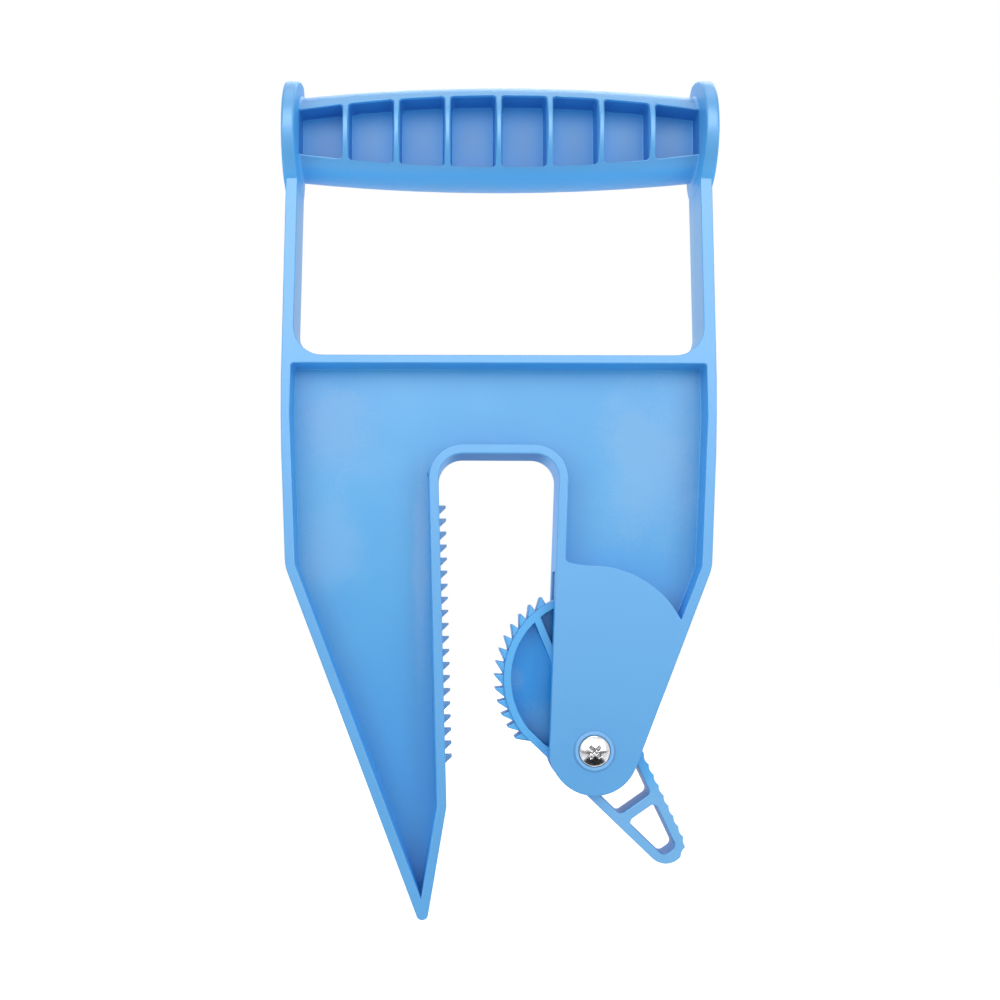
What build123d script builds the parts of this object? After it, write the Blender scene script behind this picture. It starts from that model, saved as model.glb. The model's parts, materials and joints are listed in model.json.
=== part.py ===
from build123d import *
import math
import os

# Mat puller: a carry handle with a slot for the edge of a mat, and a toothed cam that jams the mat
# against a fixed rack. Millimetres. X runs along the grip, Z is up, and the front faces -Y.
# The origin is the middle of the grip's axis. A drop is a distance below that axis.

# Grip: a bowed oval bar along X
grip_mid_height = 30.6
grip_end_height = 25.0
grip_mid_depth = 25.2
grip_end_depth = 20.4
grip_sections = 5

# Pockets in the front and back of the grip, with thin ribs between them
pocket_mid_height = 21.55
pocket_end_height = 13.55
pocket_drop = 0.35
pocket_corner = 1.0
pocket_draft = 3.0
rib_count = 7
rib_pitch = 14.9
rib_width = 1.35

# Flanges: round plates at the ends of the grip
flange_span = 127.4
flange_diameter = 34.0
flange_thickness = 5.7
flange_draft = 3.3
flange_dome = 1.05

# Plate: posts, shoulders and waist of the outline, and the hand window
plate_depth = 18.0
web_thickness = 2.5
post_setback = 1.95
post_wall = 3.4
post_lap = 1.5
shoulder_span = 126.0
shoulder_drop = 83.5
shoulder_ease = 20.5
waist_span = 121.8
waist_drop = 127.5
waist_radius = 12.0
window_drop = 66.3
window_corner = 8.3
window_draft = 3.3

# Rims round the recesses in the front and back of the plate
top_rim = 2.45
side_rim = 2.9
slot_rim = 2.75
recess_corner = 0.9
recess_hood_corner = 1.2
recess_draft = 2.0

# Slot between the jaws, and the pointed jaw on its left
slot_drop = 94.9
slot_left = 17.3
slot_right = 17.7
slot_corner = 7.0
knee_offset = 14.45
knee_drop = 195.2
knee_radius = 6.0
point_offset = 20.55
point_drop = 231.2
point_radius = 1.65

# Rack of saw teeth on the pointed jaw
rack_teeth = 20
rack_pitch = 3.79
rack_drop = 109.4
rack_tooth_height = 1.9
rack_tooth_base = 2.2
rack_tooth_land = 0.5
rack_thickness = 5.0

# Pivot, its two cheeks and the hood over the cam
pivot_offset = 27.24
pivot_drop = 179.35
cheek_radius = 12.6
cheek_wall = 3.7
hood_height = 52.4
hood_radius = 27.7
hood_ceiling = 1.5
collar_diameter = 11.1
collar_rise = 0.6
head_floor = 2.8
nut_collar_diameter = 13.0
nut_collar_rise = 2.6
nut_floor = 1.4

# Pivot screw
screw_diameter = 5.0
screw_length = 20.0
screw_end_chamfer = 0.5
head_diameter = 8.7
head_height = 3.0
head_side = 1.5
cross_length = 4.7
cross_width = 1.25
cross_floor_length = 2.4
cross_floor_width = 0.6
cross_depth = 2.0
cross_angle = 45.0

# Lock nut and its nylon ring
nut_flats = 8.0
nut_height = 5.0
nut_hex_height = 3.6
nut_crown_diameter = 7.2
insert_diameter = 6.4
insert_height = 1.2

# Clearances, on each side
cam_side_clearance = 0.3
cam_bore_clearance = 0.05
cheek_bore_clearance = 0.1
head_clearance = 0.15
nut_clearance = 0.15
thread_clearance = 0.03

# Cam: a toothed round quadrant whose centre stands off the pivot. Angles are about that centre.
cam_centre_left = 0.56
cam_centre_up = 19.97
cam_tip_radius = 27.43
cam_tooth_height = 2.5
cam_teeth = 13
cam_tooth_pitch = 8.09
cam_first_tooth = 120.7
cam_tooth_base = 7.45
cam_tooth_land = 0.8
cam_setback = 0.6
cam_rim = 2.25
cam_web = 2.5
cam_heel_cut = 0.2
cam_corner = 3.0
spoke_angle = 113.0
spoke_width = 2.25
hub_radius = 9.0

# Lever: two converging edges, a round end, a crossbar, and scallops for the thumb
lever_back_angle = -43.4
lever_front_angle = -64.6
lever_front_offset = 12.74
lever_end_radius = 5.52
lever_back_bar = 2.6
lever_front_bar = 3.1
lever_window_corner = 1.3
lever_window_end = 1.55
lever_window_draft = 2.0
crossbar_angle = -55.0
crossbar_reach = 19.4
crossbar_width = 2.8
scallop_pitch = 3.21
scallop_depth = 0.5
scallop_start = 7.3
scallop_count = 8
scallop_end_count = 2

# Worked out from the driving sizes
post_top_span = flange_span - 2 * post_setback
plate_half = plate_depth / 2
cavity_half = plate_half - cheek_wall
cam_half = cavity_half - cam_side_clearance
flange_inner = flange_span / 2 - flange_thickness
pivot = (pivot_offset, -pivot_drop)
hood_top = hood_height - pivot_drop
pivot_plane = Plane(origin=(pivot_offset, 0, -pivot_drop), x_dir=(1, 0, 0), z_dir=(0, -1, 0))
pivot_axis = Axis((pivot_offset, 0, -pivot_drop), (0, -1, 0))
through = plate_depth


def bowed(middle, end, x):
    """A size of the grip at x: middle at its centre, end at the flanges."""
    return middle + (end - middle) * (x / flange_inner) ** 2


def polar(centre, radius, degrees):
    """A point at a distance and an angle from a centre."""
    turn = math.radians(degrees)
    return (centre[0] + radius * math.cos(turn), centre[1] + radius * math.sin(turn))


def tangent_point(outside, centre, radius, side):
    """Where a line from an outside point touches a circle, to its left (1) or its right (-1)."""
    across = centre[0] - outside[0]
    along = centre[1] - outside[1]
    distance = math.hypot(across, along)
    turn = math.degrees(math.atan2(along, across) + side * math.asin(radius / distance))
    return polar(outside, math.sqrt(distance**2 - radius**2), turn)


def meet(first_angle, first_offset, second_angle, second_offset):
    """Where two lines cross. A line is given by the angle of its normal and its distance from 0, 0."""
    a = polar((0, 0), 1, first_angle)
    b = polar((0, 0), 1, second_angle)
    det = a[0] * b[1] - a[1] * b[0]
    return (
        (first_offset * b[1] - second_offset * a[1]) / det,
        (second_offset * a[0] - first_offset * b[0]) / det,
    )


# Corners of the plate's outline
post_slope = (shoulder_span - post_top_span) / 2 / shoulder_drop
post_top_drop = math.sqrt(flange_diameter**2 / 4 - plate_half**2) - post_lap
post_top_half = post_top_span / 2 + post_slope * post_top_drop
post_top_left = (-post_top_half, -post_top_drop)
post_top_right = (post_top_half, -post_top_drop)
shoulder_left = (-shoulder_span / 2, -shoulder_drop)
shoulder_right = (shoulder_span / 2, -shoulder_drop)
waist_left = (-waist_span / 2, -waist_drop)
waist_right = (waist_span / 2, -waist_drop)
point = (-point_offset, -point_drop)
knee = (-knee_offset, -knee_drop)
slot_top_left = (-slot_left, -slot_drop)
slot_top_right = (slot_right, -slot_drop)
cheek_left = tangent_point(slot_top_right, pivot, cheek_radius, -1)
cheek_right = tangent_point(waist_right, pivot, cheek_radius, 1)
cheek_bottom = (pivot_offset, -pivot_drop - cheek_radius)

# The shoulders' rounding, from the length of edge that it takes up on each side
post_lean = math.atan(post_slope)
waist_lean = math.atan2((shoulder_span - waist_span) / 2, waist_drop - shoulder_drop)
shoulder_radius = shoulder_ease / math.tan(abs(post_lean + waist_lean) / 2)


# The plate's outline, from the cheek's right side over the posts to its left side and round below
with BuildSketch(Plane.XZ) as plate_outline:
    with BuildLine():
        FilletPolyline(
            cheek_right,
            waist_right,
            shoulder_right,
            post_top_right,
            post_top_left,
            shoulder_left,
            waist_left,
            point,
            knee,
            slot_top_left,
            slot_top_right,
            cheek_left,
            radius=[
                waist_radius,
                shoulder_radius,
                0,
                0,
                shoulder_radius,
                waist_radius,
                point_radius,
                knee_radius,
                slot_corner,
                slot_corner,
            ],
        )
        ThreePointArc(cheek_left, cheek_bottom, cheek_right)
    make_face()

# The hand window, whose sides follow the posts
window_bottom = post_top_span / 2 + post_slope * window_drop - post_wall
window_top = post_top_span / 2 - post_wall
with BuildSketch(Plane.XZ) as window_outline:
    with BuildLine():
        FilletPolyline(
            (-window_top, 0),
            (-window_bottom, -window_drop),
            (window_bottom, -window_drop),
            (window_top, 0),
            radius=window_corner,
        )
        Line((window_top, 0), (-window_top, 0))
    make_face()

# The hand window's front half, narrower towards the middle plane, and its mirror image
with BuildPart() as window:
    with BuildSketch(Plane.XZ):
        add(window_outline.sketch_local)
    extrude(amount=plate_half)
    walls = window.faces().filter_by(Axis.Y, reverse=True)
    draft(walls, Plane.XZ.offset(plate_half), -window_draft)
    mirror(about=Plane.XZ)

# The hood: its top is two arcs of one radius that run into each other above the pivot
hood_sweep = math.degrees(math.asin((pivot_offset - slot_right / 2) / hood_radius))
hood_low = -pivot_drop - 2 * cheek_radius
hood_right_edge = pivot_offset + hood_radius
with BuildSketch(Plane.XZ) as hood_outline:
    with BuildLine():
        rise = CenterArc((pivot_offset, hood_top + hood_radius), hood_radius, 270, -hood_sweep)
        fall = CenterArc((pivot_offset, hood_top - hood_radius), hood_radius, 90, -90)
        Line(fall @ 1, (hood_right_edge, hood_low))
        Line((hood_right_edge, hood_low), ((rise @ 1).X, hood_low))
        Line(((rise @ 1).X, hood_low), rise @ 1)
    make_face()

# The cavity for the cam, under the hood: open to the slot, below, and behind the lever
cavity_top = hood_top - hood_ceiling
cavity_radius = hood_radius - hood_ceiling
with BuildSketch(Plane.XZ) as cavity_outline:
    with BuildLine():
        Line((0, cavity_top), (pivot_offset, cavity_top))
        back = CenterArc((pivot_offset, hood_top - hood_radius), cavity_radius, 90, -90)
        Line(back @ 1, ((back @ 1).X, hood_low))
        Line(((back @ 1).X, hood_low), (0, hood_low))
        Line((0, hood_low), (0, cavity_top))
    make_face()

# The slot's mouth and its rim, which the recess keeps clear of
with BuildSketch(Plane.XZ) as slot_and_rim:
    with BuildLine():
        FilletPolyline(
            point,
            knee,
            slot_top_left,
            slot_top_right,
            cheek_left,
            radius=[knee_radius, slot_corner, slot_corner],
        )
        Polyline(cheek_left, cheek_right, point)
    make_face()
    offset(amount=slot_rim, kind=Kind.INTERSECTION)

# The recess in each face of the plate, inside the rims and round the hood
recess_top = window_drop + top_rim - side_rim
recess_half = post_top_span / 2 + post_slope * recess_top
with BuildSketch(Plane.XZ) as recess_outline:
    with BuildLine():
        Polyline(
            (-recess_half, -recess_top),
            shoulder_left,
            waist_left,
            point,
            cheek_right,
            waist_right,
            shoulder_right,
            (recess_half, -recess_top),
            close=True,
        )
    make_face()
    offset(amount=-side_rim, kind=Kind.INTERSECTION)
    add(slot_and_rim.sketch_local, mode=Mode.SUBTRACT)
    add(hood_outline.sketch_local, mode=Mode.SUBTRACT)
    fillet(recess_outline.vertices().group_by(Axis.Y)[-1], recess_corner)
    hood_corner = (slot_right + slot_rim, hood_top)
    fillet(recess_outline.vertices().sort_by_distance(hood_corner)[0], recess_hood_corner)

recess_depth = plate_half - web_thickness / 2
with BuildPart() as recesses:
    with BuildSketch(Plane.XZ.offset(web_thickness / 2)):
        add(recess_outline.sketch_local)
    extrude(amount=recess_depth)
    walls = recesses.faces().filter_by(Axis.Y, reverse=True)
    draft(walls, Plane.XZ.offset(plate_half), -recess_draft)
    mirror(about=Plane.XZ)

# The rack, set out along the slot's left wall
rack_lean = math.degrees(math.atan2(slot_left - knee_offset, knee_drop - slot_drop))
rack_slope = (slot_left - knee_offset) / (knee_drop - slot_drop)
rack_places = []
for tooth in range(rack_teeth):
    drop = rack_drop + tooth * rack_pitch
    wall_x = -slot_left + rack_slope * (drop - slot_drop)
    rack_places.append(Location((wall_x, -drop, 0), (0, 0, rack_lean)))
with BuildSketch(Plane.XZ) as rack_outline:
    with Locations(*rack_places):
        Polygon(
            (-slot_rim / 2, 0),
            (rack_tooth_height, 0),
            (rack_tooth_height, -rack_tooth_land),
            (0, -rack_tooth_base),
            (-slot_rim / 2, -rack_tooth_base),
            align=None,
        )

# The grip's pockets, drawn at their floors and widening to their mouths
pocket_depth = (grip_mid_depth - web_thickness) / 2
pocket_inset = pocket_depth * math.tan(math.radians(pocket_draft))
rib_places = [rib_pitch * (rib - (rib_count - 1) / 2) for rib in range(rib_count)]
pocket_end = flange_inner + flange_thickness / 2
pocket_starts = [-pocket_end] + [x + rib_width / 2 + pocket_inset for x in rib_places]
pocket_stops = [x - rib_width / 2 - pocket_inset for x in rib_places] + [pocket_end]
pocket_floor = Plane.XZ.offset(web_thickness / 2)
pockets = []
for start, stop in zip(pocket_starts, pocket_stops):
    start_half = bowed(pocket_mid_height, pocket_end_height, start) / 2 - pocket_inset
    stop_half = bowed(pocket_mid_height, pocket_end_height, stop) / 2 - pocket_inset
    with BuildPart() as pocket:
        with BuildSketch(pocket_floor):
            with BuildLine():
                Polyline(
                    (start, start_half - pocket_drop),
                    (start, -start_half - pocket_drop),
                    (stop, -stop_half - pocket_drop),
                    (stop, stop_half - pocket_drop),
                    close=True,
                )
            make_face()
        extrude(amount=pocket_depth + pocket_inset)
        walls = pocket.faces().filter_by(lambda face: abs(face.normal_at().Y) < 0.5)
        draft(walls, pocket_floor, -pocket_draft)
        corners = pocket.edges().filter_by(lambda edge: abs((edge % 0.5).Y) > 0.5)
        fillet(corners, pocket_corner)
        mirror(about=Plane.XZ)
    pockets.append(pocket.part)

with BuildPart() as grip:
    for section in range(grip_sections):
        x = pocket_end * (2 * section / (grip_sections - 1) - 1)
        with BuildSketch(Plane.YZ.offset(x)):
            Ellipse(
                bowed(grip_mid_depth, grip_end_depth, x) / 2,
                bowed(grip_mid_height, grip_end_height, x) / 2,
            )
    loft()
    add(pockets, mode=Mode.SUBTRACT)

# The flanges: the front half of one, thinner towards its front, and its mirror image behind. Then the
# outer face is domed, and the whole is mirrored to the other end.
dome_radius = (flange_diameter**2 / 4 + flange_dome**2) / (2 * flange_dome)
with BuildPart() as flanges:
    with BuildSketch(Plane.YZ.offset(flange_inner)):
        Circle(flange_diameter / 2)
    extrude(amount=flange_thickness)
    split(bisect_by=Plane.XZ)
    draft(flanges.faces().sort_by(Axis.X)[:1], Plane.XZ, flange_draft)
    mirror(about=Plane.XZ)
    with Locations((flange_span / 2 - dome_radius, 0, 0)):
        Sphere(dome_radius, rotation=(0, 0, 180), mode=Mode.INTERSECT)
    mirror(about=Plane.YZ)

# Frame: grip, flanges, posts, plate, rack and cheeks in one moulding
head_seat = cavity_half + head_floor
nut_seat = cavity_half + nut_floor
collar_top = plate_half + collar_rise
nut_collar_top = plate_half + nut_collar_rise
with BuildPart() as frame:
    extrude(plate_outline.sketch, amount=plate_half, both=True)
    add(window.part, mode=Mode.SUBTRACT)
    add(recesses.part, mode=Mode.SUBTRACT)
    extrude(cavity_outline.sketch, amount=cavity_half, both=True, mode=Mode.SUBTRACT)
    extrude(rack_outline.sketch, amount=rack_thickness / 2, both=True)
    add(grip.part)
    add(flanges.part)
    with BuildSketch(pivot_plane.offset(cavity_half)):
        Circle(collar_diameter / 2)
    extrude(amount=collar_top - cavity_half)
    with BuildSketch(pivot_plane.offset(-nut_collar_top)):
        Circle(nut_collar_diameter / 2)
    extrude(amount=nut_collar_top - cavity_half)
    with BuildSketch(pivot_plane.offset(head_seat)):
        Circle(head_diameter / 2 + head_clearance)
    extrude(amount=collar_top - head_seat, mode=Mode.SUBTRACT)
    with BuildSketch(pivot_plane.offset(-nut_collar_top)):
        RegularPolygon(nut_flats / 2 + nut_clearance, 6, major_radius=False)
    extrude(amount=nut_collar_top - nut_seat, mode=Mode.SUBTRACT)
    with BuildSketch(pivot_plane):
        Circle(screw_diameter / 2 + cheek_bore_clearance)
    extrude(amount=through, both=True, mode=Mode.SUBTRACT)

# Edges of the cam and lever, as lines at a distance from the pivot
cam_centre = (-cam_centre_left, cam_centre_up)
cam_root_radius = cam_tip_radius - cam_tooth_height
back_normal = lever_back_angle - 90
front_normal = lever_front_angle + 90
back_out = polar((0, 0), 1, back_normal)
back_centre = cam_centre[0] * back_out[0] + cam_centre[1] * back_out[1]
lever_back_offset = back_centre + cam_root_radius - cam_heel_cut
front_out = polar((0, 0), 1, front_normal)
front_centre = lever_front_offset - cam_centre[0] * front_out[0] - cam_centre[1] * front_out[1]
heel_turn = math.degrees(math.acos((cam_root_radius - cam_heel_cut) / cam_root_radius))
front_turn = math.degrees(math.acos(front_centre / cam_root_radius))
heel = polar(cam_centre, cam_root_radius, back_normal - heel_turn)
front_top = polar(cam_centre, cam_root_radius, front_normal + front_turn)
lever_end = meet(
    back_normal,
    lever_back_offset - lever_end_radius,
    front_normal,
    lever_front_offset - lever_end_radius,
)
lever_end_back = polar(lever_end, lever_end_radius, back_normal)
lever_end_front = polar(lever_end, lever_end_radius, front_normal)
lever_end_tip = polar(lever_end, lever_end_radius, (back_normal + front_normal) / 2)
cam_middle = (front_normal + front_turn + back_normal - heel_turn + 360) / 2
cam_top = polar(cam_centre, cam_root_radius, cam_middle)


def tooth_points(angle):
    """A saw tooth of the cam: its flat flank stands nearly square to the rim."""
    root = cam_root_radius - cam_rim / 2
    return [
        polar(cam_centre, root, angle),
        polar(cam_centre, cam_tip_radius, angle),
        polar(cam_centre, cam_tip_radius, angle + cam_tooth_land),
        polar(cam_centre, cam_root_radius, angle + cam_tooth_base),
        polar(cam_centre, root, angle + cam_tooth_base),
    ]


# Scallops: round cuts along the front edge and on round the end
scallop_radius = ((scallop_pitch / 2) ** 2 + scallop_depth**2) / (2 * scallop_depth)
scallop_out = scallop_radius - scallop_depth
scallop_places = []
for cut in range(scallop_count):
    foot = polar((0, 0), lever_front_offset + scallop_out, front_normal)
    scallop_places.append(polar(foot, scallop_start + (cut + 0.5) * scallop_pitch, lever_front_angle))
scallop_turn = math.degrees(scallop_pitch / lever_end_radius)
for cut in range(scallop_end_count):
    turn = front_normal - (cut + 0.5) * scallop_turn
    scallop_places.append(polar(lever_end, lever_end_radius + scallop_out, turn))

# The recess between the cam's rim, its edges and its hub, parted by the spoke
with BuildSketch(pivot_plane) as cam_recess:
    with Locations(cam_centre):
        Circle(cam_root_radius - cam_rim)
    with BuildLine():
        Polyline(
            meet(back_normal, lever_back_offset - cam_rim, front_normal, lever_front_offset - cam_rim),
            polar(
                polar((0, 0), lever_back_offset - cam_rim, back_normal),
                2 * cam_tip_radius,
                lever_back_angle + 180,
            ),
            polar(
                polar((0, 0), lever_front_offset - cam_rim, front_normal),
                2 * cam_tip_radius,
                lever_front_angle + 180,
            ),
            close=True,
        )
    make_face(mode=Mode.INTERSECT)
    Circle(hub_radius, mode=Mode.SUBTRACT)
    with Locations(polar((0, 0), cam_tip_radius, spoke_angle)):
        Rectangle(2 * cam_tip_radius, spoke_width, rotation=spoke_angle, mode=Mode.SUBTRACT)

# The lever's two windows, either side of the crossbar, drawn at their narrowest, half-way through
window_inset = cam_half * math.tan(math.radians(lever_window_draft))
back_bar = lever_back_offset - lever_back_bar - window_inset
front_bar = lever_front_offset - lever_front_bar - window_inset
bar_normal = crossbar_angle
near_bar = crossbar_reach - window_inset
far_bar = crossbar_reach + crossbar_width + window_inset
end_round = lever_end_radius - lever_front_bar
bar_out = polar((0, 0), 1, bar_normal)
end_reach = lever_end[0] * bar_out[0] + lever_end[1] * bar_out[1]
with BuildSketch(pivot_plane) as lever_windows:
    with BuildLine():
        FilletPolyline(
            meet(bar_normal, far_bar, back_normal, back_bar),
            meet(bar_normal, end_reach + end_round - window_inset, back_normal, back_bar),
            meet(bar_normal, end_reach + end_round - window_inset, front_normal, front_bar),
            meet(bar_normal, far_bar, front_normal, front_bar),
            radius=[lever_window_corner, lever_window_end, lever_window_end, lever_window_corner],
            close=True,
        )
    make_face()
    with BuildLine():
        FilletPolyline(
            meet(bar_normal, hub_radius, back_normal, back_bar),
            meet(bar_normal, near_bar, back_normal, back_bar),
            meet(bar_normal, near_bar, front_normal, front_bar),
            meet(bar_normal, hub_radius, front_normal, front_bar),
            radius=lever_window_corner,
            close=True,
        )
    make_face()

# Cam and lever: one moulding that turns on the screw
with BuildPart() as cam_lever:
    with BuildSketch(pivot_plane) as cam_outline:
        with BuildLine():
            ThreePointArc(front_top, cam_top, heel)
            Line(heel, lever_end_back)
            ThreePointArc(lever_end_back, lever_end_tip, lever_end_front)
            Line(lever_end_front, front_top)
        make_face()
        fillet(cam_outline.vertices().sort_by_distance(front_top)[0], cam_corner)
        with Locations(*scallop_places):
            Circle(scallop_radius, mode=Mode.SUBTRACT)
    extrude(amount=cam_half, both=True)
    with BuildSketch(pivot_plane):
        for tooth in range(cam_teeth):
            Polygon(*tooth_points(cam_first_tooth + tooth * cam_tooth_pitch), align=None)
    extrude(amount=cam_half - cam_setback, both=True)
    for side in (1, -1):
        with BuildSketch(pivot_plane.offset(side * cam_half)):
            add(cam_recess.sketch_local)
        extrude(amount=-side * (cam_half - cam_web / 2), mode=Mode.SUBTRACT)
    extrude(lever_windows.sketch, amount=cam_half, both=True, taper=-lever_window_draft, mode=Mode.SUBTRACT)
    with BuildSketch(pivot_plane):
        Circle(screw_diameter / 2 + cam_bore_clearance)
    extrude(amount=through, both=True, mode=Mode.SUBTRACT)

# Pivot screw: a pan head with a cross recess, and a plain shank
head_radius = head_diameter / 2
head_top = head_seat + head_height
head_crown = (head_radius**2 + (head_height - head_side) ** 2) / (2 * (head_height - head_side))
shank_end = head_seat - screw_length
turning_plane = Plane(origin=pivot_plane.origin, x_dir=(1, 0, 0), z_dir=(0, 0, -1))
with BuildPart() as pivot_screw:
    with BuildSketch(turning_plane):
        with BuildLine():
            Polyline(
                (0, head_top),
                (0, shank_end),
                (screw_diameter / 2 - screw_end_chamfer, shank_end),
                (screw_diameter / 2, shank_end + screw_end_chamfer),
                (screw_diameter / 2, head_seat),
                (head_radius, head_seat),
                (head_radius, head_seat + head_side),
            )
            RadiusArc((head_radius, head_seat + head_side), (0, head_top), -head_crown)
        make_face()
    revolve(axis=pivot_axis)
    with BuildSketch(pivot_plane.offset(head_top - cross_depth)):
        Rectangle(cross_floor_length, cross_floor_width, rotation=cross_angle)
        Rectangle(cross_floor_width, cross_floor_length, rotation=cross_angle)
    with BuildSketch(pivot_plane.offset(head_top)):
        Rectangle(cross_length, cross_width, rotation=cross_angle)
        Rectangle(cross_width, cross_length, rotation=cross_angle)
    loft(mode=Mode.SUBTRACT)

# Lock nut: a hexagon with a round crown that holds the ring
nut_end = nut_seat + nut_height
with BuildPart() as lock_nut:
    with BuildSketch(pivot_plane.offset(-nut_seat)):
        RegularPolygon(nut_flats / 2, 6, major_radius=False)
    extrude(amount=-nut_hex_height)
    with BuildSketch(pivot_plane.offset(-nut_seat)):
        Circle(nut_crown_diameter / 2)
    extrude(amount=-nut_height)
    with BuildSketch(pivot_plane.offset(-nut_end)):
        Circle(insert_diameter / 2)
    extrude(amount=insert_height, mode=Mode.SUBTRACT)
    with BuildSketch(pivot_plane):
        Circle(screw_diameter / 2 + thread_clearance)
    extrude(amount=-through, mode=Mode.SUBTRACT)

with BuildPart() as lock_nut_insert:
    with BuildSketch(pivot_plane.offset(-nut_end)):
        Circle(insert_diameter / 2)
        Circle(screw_diameter / 2 + thread_clearance, mode=Mode.SUBTRACT)
    extrude(amount=insert_height)

frame.part.label = "frame"
cam_lever.part.label = "cam_lever"
pivot_screw.part.label = "pivot_screw"
lock_nut.part.label = "lock_nut"
lock_nut_insert.part.label = "lock_nut_insert"

os.makedirs("parts", exist_ok=True)
export_step(frame.part, "parts/frame.step")
export_step(cam_lever.part, "parts/cam_lever.step")
export_step(pivot_screw.part, "parts/pivot_screw.step")
export_step(lock_nut.part, "parts/lock_nut.step")
export_step(lock_nut_insert.part, "parts/lock_nut_insert.step")
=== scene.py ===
import json
import math
from collections import namedtuple

import bmesh
import bpy
from mathutils import Matrix, Vector


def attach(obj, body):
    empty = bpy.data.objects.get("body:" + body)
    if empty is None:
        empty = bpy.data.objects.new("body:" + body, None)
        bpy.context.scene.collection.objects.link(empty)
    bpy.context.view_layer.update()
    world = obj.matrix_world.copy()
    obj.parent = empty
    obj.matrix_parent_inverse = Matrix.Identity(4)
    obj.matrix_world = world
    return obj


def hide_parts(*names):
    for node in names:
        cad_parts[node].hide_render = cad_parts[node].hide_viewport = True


# Mat puller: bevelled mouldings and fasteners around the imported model, in metres.
# X runs along the grip, Z is up, and the front faces -Y.
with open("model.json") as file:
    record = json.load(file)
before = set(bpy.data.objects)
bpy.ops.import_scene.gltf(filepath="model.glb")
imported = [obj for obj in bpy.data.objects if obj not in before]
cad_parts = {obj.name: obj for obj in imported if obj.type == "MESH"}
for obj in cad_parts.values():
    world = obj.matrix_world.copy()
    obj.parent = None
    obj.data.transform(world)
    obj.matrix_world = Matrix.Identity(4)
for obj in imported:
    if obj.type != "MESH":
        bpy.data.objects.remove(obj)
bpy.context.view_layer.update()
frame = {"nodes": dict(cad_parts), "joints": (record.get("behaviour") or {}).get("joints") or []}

MM = 0.001

# Clean-up of a copied mesh: the merging distance, and angles in radians
MERGE = 2e-6
FLAT = 0.0087
SHARP = 0.5
SMOOTH = math.radians(50)

# Attributes that the materials read from a mesh
EDGE_LAYER = "painted_highlight_edge"
FACING_LAYER = "facing"

# Edge rounding of each piece: the widest bevel
FRAME_BEVEL = 0.8 * MM
CAM_BEVEL = 0.28 * MM
SCREW_BEVEL = 0.07 * MM
NUT_BEVEL = 0.18 * MM
RING_BEVEL = 0.15 * MM

# Rows of faces in a bevel, and the material number that tells them apart until they are marked
BEVEL_ROWS = 2
BEVEL_MARK = 1

# Shares of the frame's widest bevel
RIM_SHARE = 1.0
EDGE_SHARE = 0.41
RACK_SHARE = 0.19
COLLAR_SHARE = 0.30

# Places on the frame where its edge rounding changes, in millimetres
FLANGE_INNER = 57.6
FLANGE_MIDDLE = 60.0
FLANGE_OUTER = 62.3
RIM_TAPER_TOP = -9.0
RIM_TAPER_LOW = -13.4
POST_RUNOUT = -19.0
GRIP_END_DEPTH = 10.2
GRIP_END_HEIGHT = 12.5
RACK_X = -10.0
RACK_TOP = -105.0
RACK_LOW = -190.0
RACK_HALF = 2.6
COLLAR_REACH = 7.0

# Inside the oval of the grip's end, and up to its outline, where 1 is the outline itself
GRIP_INSIDE = 0.9
GRIP_OUTLINE = 1.1

# Axis of the screw and the cam, from the only joint
PIVOT = Vector(frame["joints"][0]["pos_m"])

# Spots of haze and painted sheen on the webs, the soft reflections of lamps painted in, and one painted
# highlight along the rack's rim, in millimetres: x, z, reach across, reach up and strength
WEB_HAZE_AND_SHEEN_SPOTS = (
    (-47.0, -87.0, 13.0, 15.0, 0.55),
    (-48.0, -121.0, 11.0, 16.0, 0.45),
    (45.0, -98.0, 17.0, 26.0, 0.60),
    (0.0, -72.0, 80.0, 50.0, 0.20),
    (-22.2, -126.0, 2.6, 34.0, 0.55),
)
# On the cam's web: a scuff, and a spot of painted sheen
CAM_SCUFF_AND_SHEEN_SPOTS = (
    (5.6, -159.3, 2.8, 3.8, 0.32),
    (12.0, -172.5, 8.0, 7.0, 0.34),
)

# Front face of the plate, and how far a mark on a side wall stays behind it
FRAME_FACE = 9.0 * MM
FACE_MARGIN = 0.4 * MM

# Pockets of the grip: half height in the middle and its fall along X, mouth, end, pitch, and the reach of
# the painted glow in the middle of each floor
POCKET_MID = 11.2 * MM
POCKET_FALL = 0.00119 / MM
POCKET_MOUTH = 8.0 * MM
POCKET_END = 59.5 * MM
POCKET_PITCH = 14.9 * MM
POCKET_SPOT = 8.5 * MM

# Webs, which deepen in colour downwards: painted shade, lighter at the top and darker towards the bottom, as
# the light falls
WEB_PALE = -110.0 * MM
WEB_DARK = -215.0 * MM

# Top of the slot
SLOT_TOP = -94.9 * MM
SLOT_OVER = 0.3 * MM
SLOT_CORNER = 7.0 * MM
SLOT_HALF = 16.8 * MM
SLOT_FLAT = 11.0 * MM

# Hand window: its lower face and the inner faces of the posts
SILL = -65.5 * MM
SILL_UNDER = 1.3 * MM
SILL_CORNER = 6.5 * MM
SILL_HALF = 60.5 * MM
POST_INNER = 56.0 * MM
POST_TOP = -16.0 * MM
POST_LOW = -24.0 * MM

# Raised collar round the screw's head: radius and half width of its ring, which gets a painted highlight,
# and of the line at its foot, a painted shadow
COLLAR_RING = (5.1 * MM, 0.5 * MM)
COLLAR_FOOT = (5.78 * MM, 0.2 * MM)
COLLAR_MARGIN = 0.2 * MM

# Rack: middle and half length on X and Z, and the leaning wall that its teeth stand on
RACK_ACROSS = (-14.0 * MM, 4.0 * MM)
RACK_ALONG = (-147.0 * MM, 38.0 * MM)
RACK_LEAN = 0.0284
RACK_WALL = -19.9 * MM

# Lever of the cam: where its paler tone begins, and where it is full
LEVER_TOP = -185.0 * MM
LEVER_LOW = -194.0 * MM

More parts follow.
